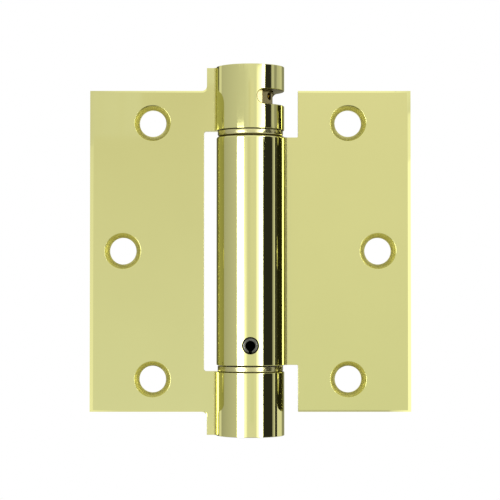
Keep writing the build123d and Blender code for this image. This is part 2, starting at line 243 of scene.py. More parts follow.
class HingeStage(bpy.types.PropertyGroup):
    """Camera, cards and floor"""

    camera_distance: length("Camera distance", "From the pin axis to the camera", 0.48)
    camera_lift: turn("Camera lift", "How far the camera looks down on the hinge", -1.3)
    shift_across: setting("Shift across", "Sideways shift of the picture", -0.0008)
    shift_up: setting("Shift up", "Upward shift of the picture", 0.0019)
    lens: setting("Lens", "Focal length for a 36 mm sensor", 125, unit="CAMERA")
    card_distance: length("Card distance", "From the pin axis to the cards", 0.7)
    card_height: length("Card height", "From mid-height to the side cards' ends", 0.4)
    softbox: level("Softbox", "Level of the two front softboxes", 8.0)
    overhead: level("Overhead", "Level of the card overhead", 1.35)
    flag: level("Flag", "Level of the black flags", 0.03)
    left_top: length("Left softbox top", "Height of the left softbox's upper edge", 0.093)
    right_top: length("Right band top", "Height where the right-hand cards change", 0.097)
    floor_depth: length("Floor depth", "From mid-height down to the floor", 0.25)
    floor_reach: length("Floor reach", "Radius of the floor", 1.2)
    under_lift: length("Under card lift", "From the floor up to the grey card under the hinge", 0.05)
    under_reach: length("Under card reach", "Radius of the grey card under the hinge", 0.2)


def rounded_path(corners, closed):
    """Points along straight runs whose corners (u, v, radius) are rounded."""
    points = []
    last = len(corners) - 1
    for number, (u, v, radius) in enumerate(corners):
        if radius == 0 or (not closed and number in (0, last)):
            points.append((u, v))
            continue
        corner = Vector((u, v))
        before = (Vector(corners[number - 1][:2]) - corner).normalized()
        after = (Vector(corners[(number + 1) % len(corners)][:2]) - corner).normalized()
        half = before.angle(after) / 2
        centre = corner + (before + after).normalized() * (radius / sin(half))
        spoke = corner + before * (radius / tan(half)) - centre
        whole = copysign(pi - 2 * half, before.y * after.x - before.x * after.y)
        for step in range(ROLL_STEPS + 1):
            lean = whole * step / ROLL_STEPS
            points.append(
                (
                    centre.x + spoke.x * cos(lean) - spoke.y * sin(lean),
                    centre.y + spoke.x * sin(lean) + spoke.y * cos(lean),
                )
            )
    return points


def arc(centre, radius, start, stop, steps):
    """Points on an arc from one angle to another, both ends included."""
    angles = [start + (stop - start) * step / steps for step in range(steps + 1)]
    return [(centre[0] + radius * cos(a), centre[1] + radius * sin(a)) for a in angles]


def polygon(radius, first, sides):
    """Corners of an even polygon round the origin, from the angle of its first corner."""
    return arc((0, 0), radius, first, first + 2 * pi, sides)[:-1]


def solid_mesh(name, points, faces):
    """A closed mesh with its faces outwards."""
    mesh = bpy.data.meshes.new(name)
    mesh.from_pydata(points, [], faces)
    shape = bmesh.new()
    shape.from_mesh(mesh)
    bmesh.ops.remove_doubles(shape, verts=shape.verts, dist=NEAR)
    bmesh.ops.recalc_face_normals(shape, faces=shape.faces)
    shape.to_mesh(mesh)
    shape.free()
    return mesh


def new_object(name, data):
    """An object for a mesh or a camera, in the scene."""
    made = bpy.data.objects.new(name, data)
    bpy.context.scene.collection.objects.link(made)
    return made


def edges_of(outline):
    """The two ends of each edge of a closed outline."""
    return list(zip(outline, outline[1:] + outline[:1]))


def edge_normals(outline):
    """Unit vectors that point into a closed outline, one for each edge."""
    edges = edges_of(outline)
    way = copysign(1, sum(a[0] * b[1] - b[0] * a[1] for a, b in edges))
    normals = []
    for a, b in edges:
        run = Vector(b) - Vector(a)
        normals.append(Vector((-run.y, run.x)).normalized() * way)
    return normals


def insets(outline, widths):
    """How far each point of an outline moves when each edge moves inwards by its own width."""
    normals = edge_normals(outline)
    moves = []
    for number in range(len(outline)):
        first, second = normals[number - 1], normals[number]
        wide, next_wide = widths[number - 1], widths[number]
        cross = first.x * second.y - first.y * second.x
        if abs(cross) > MITRE_TURN:
            across = wide * second.y - next_wide * first.y
            up = next_wide * first.x - wide * second.x
            moves.append(Vector((across, up)) / cross)
        else:
            moves.append((first + second) / (1 + first.dot(second)) * (wide + next_wide) / 2)
    return moves


def rolled_edge(width, lean=QUARTER):
    """Steps of an edge that rounds over from a face: how far inside the outline and below the face."""
    turns = [lean * step / ROLL_STEPS for step in range(ROLL_STEPS + 1)]
    return [(width * (1 - sin(spin) / sin(lean)), width * (1 - cos(spin)) / sin(lean)) for spin in turns]


def drawn_edge(width, lean):
    """Steps of an edge that bends down from a face and then runs straight out."""
    straight = DRAWN_STRAIGHT * width
    bend = rolled_edge(width - straight, lean)
    steps = [(straight + inset, drop) for inset, drop in bend[:-1]]
    return steps + [(0, bend[-1][1] + straight * tan(lean))]


def edge_between(first, second, part):
    """Steps of an edge that lies partway between two others."""
    return [(a + (c - a) * part, b + (d - b) * part) for (a, b), (c, d) in zip(first, second)]


def side_faces(total, count):
    """Faces between loops of count points each that follow one another in a list of points."""
    faces = []
    for start in range(0, total - count, count):
        for number in range(count):
            after = (number + 1) % count
            faces.append([start + number, start + after, start + count + after, start + count + number])
    return faces


def rounded_prism(name, outline, low, high, rolls, place):
    """A solid over an outline from one level to another, its edges at both ends rounded.

    rolls holds two lists, for the low and the high end, of each outline edge's steps.
    place turns two outline coordinates and a level into a point.
    """
    loops = []
    for end, way, edges in ((low, 1, rolls[0]), (high, -1, rolls[1])):
        layers = []
        for step in range(ROLL_STEPS + 1):
            moves = insets(outline, [edge[step][0] for edge in edges])
            drops = [edge[step][1] for edge in edges]
            layers.append(
                [
                    place(u + move.x, v + move.y, end + way * max(drops[number - 1], drops[number]))
                    for number, ((u, v), move) in enumerate(zip(outline, moves))
                ]
            )
        loops += layers if way > 0 else layers[::-1]
    count = len(outline)
    points = [point for loop in loops for point in loop]
    caps = [list(range(count)), list(range(len(points) - count, len(points)))]
    return new_object(name, solid_mesh(name, points, caps + side_faces(len(points), count)))


def upright(x, y, height):
    """Place for a solid that stands along the pin axis."""
    return (x, y, height)


def facing(x, height, depth):
    """Place for a solid that runs back from the front."""
    return (x, depth, height)


def turned_solid(name, profile, closed=False, place=upright):
    """A solid turned from a profile of (radius, level), closed in itself or ending on the axis."""
    points = []
    rings = []
    for radius, height in profile:
        if radius < NEAR:
            rings.append([len(points)] * TURN_STEPS)
            points.append(place(0, 0, height))
            continue
        rings.append(list(range(len(points), len(points) + TURN_STEPS)))
        for step in range(TURN_STEPS):
            spin = 2 * pi * step / TURN_STEPS
            points.append(place(radius * sin(spin), -radius * cos(spin), height))
    faces = []
    pairs = list(zip(rings, rings[1:]))
    if closed:
        pairs.append((rings[-1], rings[0]))
    for ring, following in pairs:
        for step in range(TURN_STEPS):
            after = (step + 1) % TURN_STEPS
            corners = [ring[step], ring[after], following[after], following[step]]
            faces.append(list(dict.fromkeys(corners)))
    return new_object(name, solid_mesh(name, points, faces))


def square_edges(outline):
    """Edges of a prism that stay square at both ends."""
    return ([rolled_edge(0)] * len(outline),) * 2


def block(name, low, high):
    """A plain box between two corners, used as a cutter."""
    outline = [(low[0], low[1]), (high[0], low[1]), (high[0], high[1]), (low[0], high[1])]
    return rounded_prism(name, outline, low[2], high[2], square_edges(outline), upright)


def bake(piece):
    """Turns a piece's live modifiers into its plain mesh."""
    graph = bpy.context.evaluated_depsgraph_get()
    mesh = bpy.data.meshes.new_from_object(piece.evaluated_get(graph))
    plain = piece.data
    piece.modifiers.clear()
    piece.data = mesh
    mesh.name = piece.name
    bpy.data.meshes.remove(plain)


def discard(tool):
    """Removes a tool and its mesh."""
    mesh = tool.data
    bpy.data.objects.remove(tool)
    bpy.data.meshes.remove(mesh)


def combine(piece, tools, operation):
    """Joins tools to a piece or cuts them from it, and removes them."""
    for tool in tools:
        modifier = piece.modifiers.new(operation.title(), "BOOLEAN")
        modifier.operation = operation
        modifier.solver = "EXACT"
        modifier.object = tool
    bake(piece)
    for tool in tools:
        discard(tool)


def polish(piece, material):
    """Gives a piece its material and clean normals: sharp at real edges, level on flats."""
    mesh = piece.data
    mesh.materials.clear()
    mesh.materials.append(material)
    mesh.polygons.foreach_set("material_index", [0] * len(mesh.polygons))
    mesh.shade_smooth()
    mesh.set_sharp_from_angle(angle=SHARP_ANGLE)
    modifier = piece.modifiers.new("Level flats", "WEIGHTED_NORMAL")
    modifier.mode = "FACE_AREA"
    modifier.keep_sharp = True
    bake(piece)


def seat(piece, body, slot, *nodes):
    """Lets a finished piece ride on its body in place of its solids."""
    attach(piece, body)
    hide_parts(*nodes)


def feed(tree, socket, value):
    """Links a socket to another one, or sets its value."""
    if isinstance(value, bpy.types.NodeSocket):
        tree.links.new(value, socket)
    else:
        socket.default_value = value


def add(tree, kind, values=None, **settings):
    """A node with its settings, and its input sockets by name or number."""
    node = tree.nodes.new(kind)
    for name, value in settings.items():
        setattr(node, name, value)
    for name, value in (values or {}).items():
        feed(tree, node.inputs[name], value)
    return node


def put(tree, kind, values=None, **settings):
    """The first output of a new node."""
    return add(tree, kind, values, **settings).outputs[0]


def sums(tree, operation, *values):
    """The result of a math node."""
    return put(tree, "ShaderNodeMath", dict(enumerate(values)), operation=operation)


def ramp(tree, value, start=0.0, stop=1.0, low=0.0, high=1.0):
    """A level that runs from low to high while a value runs from start to stop."""
    values = {"Value": value, "From Min": start, "From Max": stop, "To Min": low, "To Max": high}
    return put(tree, "ShaderNodeMapRange", values)


def mixed(tree, factor, first, second):
    """A colour between two others."""
    values = {"Factor": factor, 6: first, 7: second}
    return add(tree, "ShaderNodeMix", values, data_type="RGBA").outputs[2]


def placed(tree, name, build, values):
    """The outputs of a shader group, built once, that stands in a material with its own values."""
    group = bpy.data.node_groups.get(name) or build(name)
    return add(tree, "ShaderNodeGroup", values, node_tree=group).outputs


def new_tree(name, kind, inputs, outputs):
    """A node group with named sockets, and the sockets of its input and output nodes."""
    tree = bpy.data.node_groups.new(name, kind)
    for in_out, sockets in (("INPUT", inputs), ("OUTPUT", outputs)):
        for label, socket in sockets.items():
            tree.interface.new_socket(label, in_out=in_out, socket_type="NodeSocket" + socket)
    return tree, tree.nodes.new("NodeGroupInput").outputs, tree.nodes.new("NodeGroupOutput").inputs


def geometry_tree(name, inputs):
    """A geometry group with named inputs."""
    return new_tree(name, "GeometryNodeTree", inputs, {"Geometry": "Geometry"})


def grown(name, tree, values):
    """The plain mesh object that a geometry tree makes with the given inputs."""
    made = new_object(name, bpy.data.meshes.new(name))
    modifier = made.modifiers.new(tree.name, "NODES")
    modifier.node_group = tree
    for item in tree.interface.items_tree:
        if item.in_out == "INPUT":
            modifier[item.identifier] = values[item.name]
    bake(made)
    return made


def close_tree(tree, geometry, material, output):
    """Ends a geometry tree in plain meshes with a material."""
    real = put(tree, "GeometryNodeRealizeInstances", {"Geometry": geometry})
    made = put(tree, "GeometryNodeSetMaterial", {"Geometry": real, "Material": material})
    tree.links.new(made, output)


def copies_at(tree, cutter, count, spot, **turned):
    """Copies of a cutter at a number of places."""
    spots = put(tree, "GeometryNodePoints", {"Count": count, "Position": spot})
    shape = add(tree, "GeometryNodeObjectInfo", {"Object": cutter}).outputs["Geometry"]
    return put(tree, "GeometryNodeInstanceOnPoints", {"Points": spots, "Instance": shape, **turned})


def hole_pattern_tree():
    """Three copies of a cutter: a middle one and, nearer to the axis, one towards each end of a leaf."""
    inputs = {"Cutter": "Object", "Side": "Float", "Distance": "Float", "Stagger": "Float"}
    inputs.update({"Height": "Float", "Material": "Material"})
    tree, given, result = geometry_tree("Screw hole pattern", inputs)
    step = sums(tree, "SUBTRACT", 1.0, put(tree, "GeometryNodeInputIndex"))
    nearer = sums(tree, "MULTIPLY", sums(tree, "ABSOLUTE", step), given["Stagger"])
    across = sums(tree, "MULTIPLY", given["Side"], sums(tree, "SUBTRACT", given["Distance"], nearer))
    up = sums(tree, "MULTIPLY", step, given["Height"])
    spot = put(tree, "ShaderNodeCombineXYZ", {"X": across, "Z": up})
    copies = copies_at(tree, given["Cutter"], 3, spot)
    close_tree(tree, copies, given["Material"], result[0])
    return tree


def ring_pattern_tree():
    """Copies of a cutter spread evenly round the pin axis."""
    inputs = {"Cutter": "Object", "Count": "Int", "Start": "Float", "Height": "Float"}
    inputs["Material"] = "Material"
    tree, given, result = geometry_tree("Ring pattern", inputs)
    index = put(tree, "GeometryNodeInputIndex")
    part = sums(tree, "DIVIDE", sums(tree, "MULTIPLY", index, 2 * pi), given["Count"])
    spin = put(tree, "ShaderNodeCombineXYZ", {"Z": sums(tree, "ADD", given["Start"], part)})
    spot = put(tree, "ShaderNodeCombineXYZ", {"Z": given["Height"]})
    copies = copies_at(tree, given["Cutter"], given["Count"], spot, Rotation=spin)
    close_tree(tree, copies, given["Material"], result[0])
    return tree


def coil_tree():
    """A left-hand coil on one continuous path, bent inwards to a tang across the axis at each end."""
    inputs = {"Coil radius": "Float", "Tang reach": "Float", "Low": "Float", "Rise": "Float"}
    inputs.update({"Bend": "Float", "Wire radius": "Float", "Turns": "Int", "Steps": "Int"})
    inputs["Material"] = "Material"
    tree, given, result = geometry_tree("Torsion coil", inputs)
    radius, reach, bend = given["Coil radius"], given["Tang reach"], given["Bend"]
    around = sums(tree, "MULTIPLY", radius, 2 * pi)
    coiled = sums(tree, "MULTIPLY", around, given["Turns"])
    tang = sums(tree, "ADD", radius, reach)
    whole = sums(tree, "ADD", coiled, sums(tree, "MULTIPLY", tang, 2.0))
    count = sums(tree, "MULTIPLY", given["Turns"], given["Steps"])
    part = sums(tree, "DIVIDE", put(tree, "GeometryNodeInputIndex"), sums(tree, "SUBTRACT", count, 1.0))
    gone = sums(tree, "MULTIPLY", whole, part)
    left = sums(tree, "SUBTRACT", whole, gone)
    first_out = sums(tree, "SMOOTH_MIN", sums(tree, "SUBTRACT", gone, reach), radius, bend)
    last_out = sums(tree, "SMOOTH_MIN", sums(tree, "SUBTRACT", left, reach), radius, bend)
    out = sums(tree, "MINIMUM", first_out, last_out)
    travelled = sums(tree, "SMOOTH_MAX", sums(tree, "SUBTRACT", gone, tang), 0.0, bend)
    travelled = sums(tree, "SMOOTH_MIN", travelled, coiled, bend)
    spin = sums(tree, "DIVIDE", travelled, sums(tree, "MULTIPLY", radius, -1.0))
    risen = sums(tree, "MULTIPLY", given["Rise"], sums(tree, "DIVIDE", travelled, around))
    spot = {
        "X": sums(tree, "MULTIPLY", out, sums(tree, "COSINE", spin)),
        "Y": sums(tree, "MULTIPLY", out, sums(tree, "SINE", spin)),
        "Z": sums(tree, "ADD", given["Low"], risen),
    }
    row = put(tree, "GeometryNodeMeshLine", {"Count": count})
    line = put(tree, "GeometryNodeMeshToCurve", {"Mesh": row})
    place = put(tree, "ShaderNodeCombineXYZ", spot)
    path = put(tree, "GeometryNodeSetPosition", {"Geometry": line, "Position": place})
    values = {"Resolution": WIRE_SIDES, "Radius": given["Wire radius"]}
    section = put(tree, "GeometryNodeCurvePrimitiveCircle", values)
    values = {"Curve": path, "Profile Curve": section, "Fill Caps": True}
    wire = put(tree, "GeometryNodeCurveToMesh", values)
    close_tree(tree, wire, given["Material"], result[0])
    return tree


def polish_lines_group(name):
    """Fine lines left by polishing along one direction, from 0 to 1."""
    inputs = {"Vector": "Vector", "Stretch": "Vector"}
    tree, given, result = new_tree(name, "ShaderNodeTree", inputs, {"Lines": "Float"})
    mapped = put(tree, "ShaderNodeMapping", {"Vector": given["Vector"], "Scale": given["Stretch"]})
    values = {"Vector": mapped, "Scale": 1.0, "Detail": 4.0, "Roughness": 0.6}
    tree.links.new(put(tree, "ShaderNodeTexNoise", values), result["Lines"])
    return tree


def mottle_group(name):
    """A finish that drifts a little between two tones, with cloudier and clearer places."""
    inputs = {"Vector": "Vector", "Scale": "Float", "Tone": "Color", "Other tone": "Color"}
    inputs.update({"Clear": "Float", "Cloudy": "Float"})
    outputs = {"Color": "Color", "Roughness": "Float"}
    tree, given, result = new_tree(name, "ShaderNodeTree", inputs, outputs)
    spot, scale = given["Vector"], given["Scale"]
    finer = sums(tree, "MULTIPLY", scale, FINER)
    broad = put(tree, "ShaderNodeTexNoise", {"Vector": spot, "Scale": scale, "Detail": 3.0})
    fine = put(tree, "ShaderNodeTexNoise", {"Vector": spot, "Scale": finer, "Detail": 5.0})
    tone = mixed(tree, broad, given["Tone"], given["Other tone"])
    gloss = ramp(tree, fine, start=0.3, stop=0.7, low=given["Clear"], high=given["Cloudy"])
    tree.links.new(tone, result["Color"])
    tree.links.new(gloss, result["Roughness"])
    return tree


def unpolished_and_shaded_group(name):
    """Masks of the faces that polishing misses, one of which also places painted shade.

    Inside is 1 within a radius of the pin axis, where sheared and rolled-in faces lie and where painted
    shade goes.
    Beyond that radius, Crevice is 1 in front of the leaves' front faces, where the roll's end lands, and
    Cut is 1 between their front and back.
    """
    inputs = {"Vector": "Vector", "Radius": "Float", "Edge": "Float", "Front": "Float", "Back": "Float"}
    outputs = {"Inside": "Float", "Crevice": "Float", "Cut": "Float"}
    tree, given, result = new_tree(name, "ShaderNodeTree", inputs, outputs)
    spot, radius, edge, front = given["Vector"], given["Radius"], given["Edge"], given["Front"]
    flat = put(tree, "ShaderNodeVectorMath", {0: spot, 1: (1, 1, 0)}, operation="MULTIPLY")
    away = add(tree, "ShaderNodeVectorMath", {0: flat}, operation="LENGTH").outputs["Value"]
    depth = add(tree, "ShaderNodeSeparateXYZ", {0: spot}).outputs["Y"]
    fading = sums(tree, "SUBTRACT", radius, edge)
    inside = ramp(tree, away, start=fading, stop=radius, low=1.0, high=0.0)
    margin = sums(tree, "MULTIPLY", edge, 2.0)
    wider = sums(tree, "MULTIPLY", margin, 1.5)
    outside = sums(tree, "GREATER_THAN", away, sums(tree, "ADD", radius, margin))
    ahead = sums(tree, "LESS_THAN", depth, sums(tree, "SUBTRACT", front, edge))
    behind = sums(tree, "GREATER_THAN", depth, sums(tree, "ADD", front, wider))
    before = sums(tree, "LESS_THAN", depth, sums(tree, "SUBTRACT", given["Back"], margin))
    within = sums(tree, "MULTIPLY", behind, before)
    tree.links.new(inside, result["Inside"])
    tree.links.new(sums(tree, "MULTIPLY", outside, ahead), result["Crevice"])
    tree.links.new(sums(tree, "MULTIPLY", outside, within), result["Cut"])
    return tree


def dull_and_shade_faces(material, places, dull_and_shade):
    """Dulls a finish on the faces that polishing misses and gives each mask its colour, which for the
    inside faces is painted shade; the last argument holds each mask's colour and roughness.
    """
    tree = material.node_tree
    shader = tree.nodes["Principled BSDF"]
    values = {"Vector": add(tree, "ShaderNodeTexCoord").outputs["Object"], **places}
    masks = placed(tree, "Unpolished faces", unpolished_and_shaded_group, values)
    tint = shader.inputs["Base Color"].links[0].from_socket
    gloss = shader.inputs["Roughness"].links[0].from_socket
    for label, (tone, roughness) in dull_and_shade.items():
        tint = mixed(tree, masks[label], tint, (*tone, 1))
        values = {"Factor": masks[label], 2: gloss, 3: roughness}
        gloss = put(tree, "ShaderNodeMix", values, data_type="FLOAT")
    tree.links.new(tint, shader.inputs["Base Color"])
    tree.links.new(gloss, shader.inputs["Roughness"])


def metal(name, tone, roughness, drift, scale, stretch, line_depth):
    """A metal finish with mottled colour and gloss and fine lines along one direction.

    drift is the share by which the colour strays, scale the number of patches in a metre, stretch the
    number of lines in a metre along each axis, and line_depth their depth.
    """
    material = bpy.data.materials.new(name)
    material.use_nodes = True
    tree = material.node_tree
    shader = tree.nodes["Principled BSDF"]
    shader.inputs["Metallic"].default_value = 1.0
    shader.inputs["Specular Tint"].default_value = (*[(1 + part) / 2 for part in tone], 1)
    spot = add(tree, "ShaderNodeTexCoord").outputs["Object"]
    values = {
        "Vector": spot,
        "Scale": scale,
        "Tone": (*[part * (1 - drift) for part in tone], 1),
        "Other tone": (*[min(1, part * (1 + drift)) for part in tone], 1),
        "Clear": roughness * CLEAR,
        "Cloudy": roughness * CLOUDY,
    }
    mottle = placed(tree, "Finish mottle", mottle_group, values)
    lines = placed(tree, "Polish lines", polish_lines_group, {"Vector": spot, "Stretch": stretch})
    values = {"Height": lines["Lines"], "Strength": 1.0, "Distance": line_depth}
    tree.links.new(mottle["Color"], shader.inputs["Base Color"])
    tree.links.new(mottle["Roughness"], shader.inputs["Roughness"])
    tree.links.new(put(tree, "ShaderNodeBump", values), shader.inputs["Normal"])
    return material


def bright_brass(finish):
    """Polished plating of the leaves, left matt on the sheared and rolled-in faces, where a near-black
    colour paints shade.
    """
    grain = {"drift": 0.02, "scale": 60, "stretch": (1500, 1500, 60), "line_depth": 2e-7}
    material = metal("Bright brass", finish.brass, finish.brass_roughness, **grain)
    places = {
        "Radius": -BARREL_LEAF_LOW.x - DULL_AND_SHADE_EDGE,
        "Edge": DULL_AND_SHADE_EDGE,
        "Front": FRONT,
        "Back": FRONT + SHEET,
    }
    dull_and_shade = {
        # Painted shade: near-black colour on the faces inside the barrel's radius, the bore, the seam, the
        # slot's walls, the pin hole and the rolled ends
        "Inside": (finish.sheared_painted_shade, finish.sheared_roughness),
        "Crevice": (finish.crevice, finish.crevice_roughness),
        "Cut": (finish.cut, finish.cut_roughness),
    }
    dull_and_shade_faces(material, places, dull_and_shade)
    return material


def plug_brass(finish):
    """Polished plug in the lower knuckle."""
    grain = {"drift": 0.02, "scale": 60, "stretch": (600, 600, 600), "line_depth": 2e-7}
    return metal("Plug brass", finish.brass, finish.brass_roughness, **grain)


def bearing_brass(finish):
    """Turned rings, with fine lines round the axis."""
    grain = {"drift": 0.05, "scale": 200, "stretch": (60, 60, 6000), "line_depth": 1e-6}
    return metal("Bearing brass", finish.bearing, finish.bearing_roughness, **grain)


def adjuster_brass(finish):
    """Turned adjuster, darker and duller than the leaves."""
    grain = {"drift": 0.15, "scale": 300, "stretch": (80, 80, 5000), "line_depth": 2e-6}
    return metal("Adjuster brass", finish.adjuster, finish.adjuster_roughness, **grain)


def spring_steel(finish):
    """Oiled wire."""
    grain = {"drift": 0.2, "scale": 400, "stretch": (2500, 2500, 2500), "line_depth": 2e-6}
    return metal("Spring steel", finish.spring, finish.spring_roughness, **grain)


def pin_steel(finish):
    """Dark rolled pin and the anchor it holds."""
    grain = {"drift": 0.6, "scale": 900, "stretch": (3000, 300, 3000), "line_depth": 3e-6}
    return metal("Pin steel", finish.pin, finish.pin_roughness, **grain)


def finish_named(name, maker, context):
    """A material by name, made once."""
    return bpy.data.materials.get(name) or maker(context.scene.hinge_finishes)


def roll_section(sizes, stub):
    """Outline of a sheet rolled round the axis, its flat running out to the stub on +X."""
    radius = sizes.barrel_radius
    bore = radius - sizes.sheet
    front = sizes.front + TUCK
    back = sizes.front + sizes.sheet - TUCK
    swage_height = back + sizes.swage_radius
    swage_x = sqrt((radius + sizes.swage_radius) ** 2 - swage_height**2)
    swage_lean = atan2(swage_height, swage_x)
    toe_height = front - sizes.toe_radius
    toe_x = sqrt((radius + sizes.toe_radius) ** 2 - toe_height**2)
    toe_lean = atan2(toe_height, toe_x)
    seam_level = front - sizes.seam
    toe_end = acos((seam_level - toe_height) / sizes.toe_radius) + QUARTER
    step = 2 * pi / TURN_STEPS
    outline = [(stub, back)]
    outline += arc((swage_x, swage_height), sizes.swage_radius, -QUARTER, swage_lean - pi, SWAGE_STEPS)
    around = 2 * pi + toe_lean - swage_lean
    outline += arc((0, 0), radius, swage_lean, swage_lean + around, ceil(around / step))[1:]
    outline += arc((toe_x, toe_height), sizes.toe_radius, pi + toe_lean, toe_end, TOE_STEPS)[1:]
    seam_start = asin(seam_level / bore)
    seam_stop = asin(front / bore) - 2 * pi
    outline += arc((0, 0), bore, seam_start, seam_stop, TURN_STEPS)
    outline.append((stub, front))
    return outline


def rolled_length(name, sizes, side, stub, low, high, rims):
    """One rolled stretch of sheet between two heights, its rims rounded."""
    outline = roll_section(sizes, stub)
    seam_zone = (sizes.front + sizes.seam) * SEAM_REACH
    rolls = ([], [])
    for a, b in edges_of(outline):
        middle = ((a[0] + b[0]) / 2, (a[1] + b[1]) / 2)
        by_seam = middle[0] > 0 and abs(middle[1]) < seam_zone
        on_roll = hypot(*middle) < sizes.barrel_radius + NEAR and not by_seam
        for edges, rim in zip(rolls, rims):
            edges.append(rolled_edge(rim if on_roll else PLAIN_BREAK))
    outline = [(side * x, y) for x, y in outline]
    return rounded_prism(name, outline, low + TUCK, high - TUCK, rolls, upright)


def flat_plate(name, sizes, side, lean, corners):
    """A leaf's flat from its corners on +X: outer front edges drawn down, the others just broken."""
    outline = rounded_path(corners, closed=True)
    plain = rolled_edge(sizes.edge_break)
    drawn_side = drawn_edge(sizes.roll_width, lean)
    drawn_end = drawn_edge(sizes.end_roll_width, lean)
    rolls = []
    for a, b in edges_of(outline):
        across = (a[0] + b[0]) / 2
        up = abs(a[1] + b[1]) / 2
        if across > sizes.reach - NEAR:
            rolls.append(drawn_side)
        elif up > sizes.half_height - NEAR:
            part = min(1, (up - sizes.half_height) / sizes.tab_corner)
            rolls.append(edge_between(drawn_end, plain, part))
        else:
            rolls.append(plain)
    outline = [(side * x, z) for x, z in outline]
    back = [plain] * len(rolls)
    return rounded_prism(name, outline, sizes.front, sizes.front + sizes.sheet, (rolls, back), facing)


def screw_hole_cutter(sizes):
    """Cutter for one countersunk hole along Y, its mouth rounded into the front face."""
    front, lip = sizes.front, sizes.hole_lip
    mouth = 4 * lip
    just_ahead = 0.01 * lip
    slope = tan(sizes.sink_angle / 2)
    sink_depth = (sizes.sink_radius - sizes.hole_radius) / slope
    beyond = 2 * sizes.sheet
    corners = [
        (0, front - lip, 0),
        (sizes.sink_radius + mouth, front - lip, 0),
        (sizes.sink_radius + mouth, front - just_ahead, 0),
        (sizes.sink_radius, front, mouth),
        (sizes.hole_radius, front + sink_depth, lip),
        (sizes.hole_radius, front + beyond, 0),
        (0, front + beyond, 0),
    ]
    return turned_solid("screw_hole_cutter", rounded_path(corners, closed=False), place=facing)


def cut_screw_holes(piece, sizes, side, material):
    """Cuts a leaf's three countersunk holes."""
    cutter = screw_hole_cutter(sizes)
    values = {
        "Cutter": cutter,
        "Side": float(side),
        "Distance": sizes.hole_distance,
        "Stagger": sizes.hole_stagger,
        "Height": sizes.hole_height,
        "Material": material,
    }
    combine(piece, [grown("screw_hole_cutters", hole_pattern_tree(), values)], "DIFFERENCE")
    discard(cutter)


def slot_columns(sizes, half):
    """Leans from the front along a slot of a given half height, with half its height at each."""
    end = asin(half / sizes.barrel_radius)
    columns = []
    for step in range(SLOT_END_STEPS + 1):
        lean = QUARTER * step / SLOT_END_STEPS
        columns.append((sizes.slot_start - end * cos(lean), half * sin(lean)))
    whole = sizes.slot_stop - sizes.slot_start
    for step in range(1, SLOT_STEPS):
        columns.append((sizes.slot_start + whole * step / SLOT_STEPS, half))
    for spin, tall in columns[SLOT_END_STEPS::-1]:
        columns.append((sizes.slot_stop + sizes.slot_start - spin, tall))
    return columns


def slot_cutter(sizes, level_of_slot):
    """Cutter for the slot round the upper knuckle's +X side, with round ends and a broken outer edge."""
    radius, edge = sizes.barrel_radius, sizes.slot_break
    half = sizes.slot_height / 2
    proud = 2 * edge
    widening = edge + proud
    inside = CUTTER_START * (radius - sizes.sheet)
    shoulder = radius - edge
    outside = radius + proud
    narrow = slot_columns(sizes, half)
    wide = slot_columns(sizes, half + widening)
    points = []
    for (spin, tall), (wide_spin, wide_tall) in zip(narrow, wide):
        section = [(inside, spin, tall), (shoulder, spin, tall), (outside, wide_spin, wide_tall)]
        ring = [(reach, lean, -up) for reach, lean, up in section] + section[::-1]
        for reach, lean, up in ring:
            points.append((reach * sin(lean), -reach * cos(lean), level_of_slot + up))
    faces = side_faces(len(points), len(ring))
    return new_object("slot_cutter", solid_mesh("slot_cutter", points, faces))


def mirrored(upper):
    """A leaf's corners from those of its upper half."""
    return upper + [(x, -z, radius) for x, z, radius in reversed(upper)]


def knuckle_leaf_corners(sizes):
    """Corners of the two-knuckle leaf's flat on +X, with the rounding of each."""
    inner = sizes.barrel_radius * FLAT_START
    top = sizes.column_top
    knuckle_end = top - sizes.knuckle_length
    return mirrored(
        [
            (sizes.window_edge, knuckle_end, sizes.window_corner),
            (inner, knuckle_end, 0),
            (inner, top, 0),
            (sizes.tab_edge, top, 0),
            (sizes.tab_edge, sizes.half_height, sizes.tab_corner),
            (sizes.reach, sizes.half_height, 0),
        ]
    )


def barrel_leaf_corners(sizes):
    """Corners of the barrel leaf's flat on +X, with the rounding of each."""
    inner = sizes.barrel_radius * FLAT_START
    return mirrored(
        [
            (inner, sizes.barrel_end, 0),
            (sizes.notch_edge, sizes.barrel_end, sizes.notch_corner),
            (sizes.notch_edge, sizes.half_height, 0),
            (sizes.reach, sizes.half_height, 0),
        ]
    )


def pin_drill(sizes, turned):
    """Cutter for the hole that the roll pin sits in, from the axis out through the barrel's front."""
    hole = turned.pin_radius + PIN_GAP
    ahead = -2 * sizes.barrel_radius
    drill = turned_solid("pin_drill", [(0, ahead), (hole, ahead), (hole, 0), (0, 0)], place=facing)
    drill.data.transform(Matrix.Translation((0, 0, (PIN_LOW.z + PIN_HIGH.z) / 2)))
    return drill


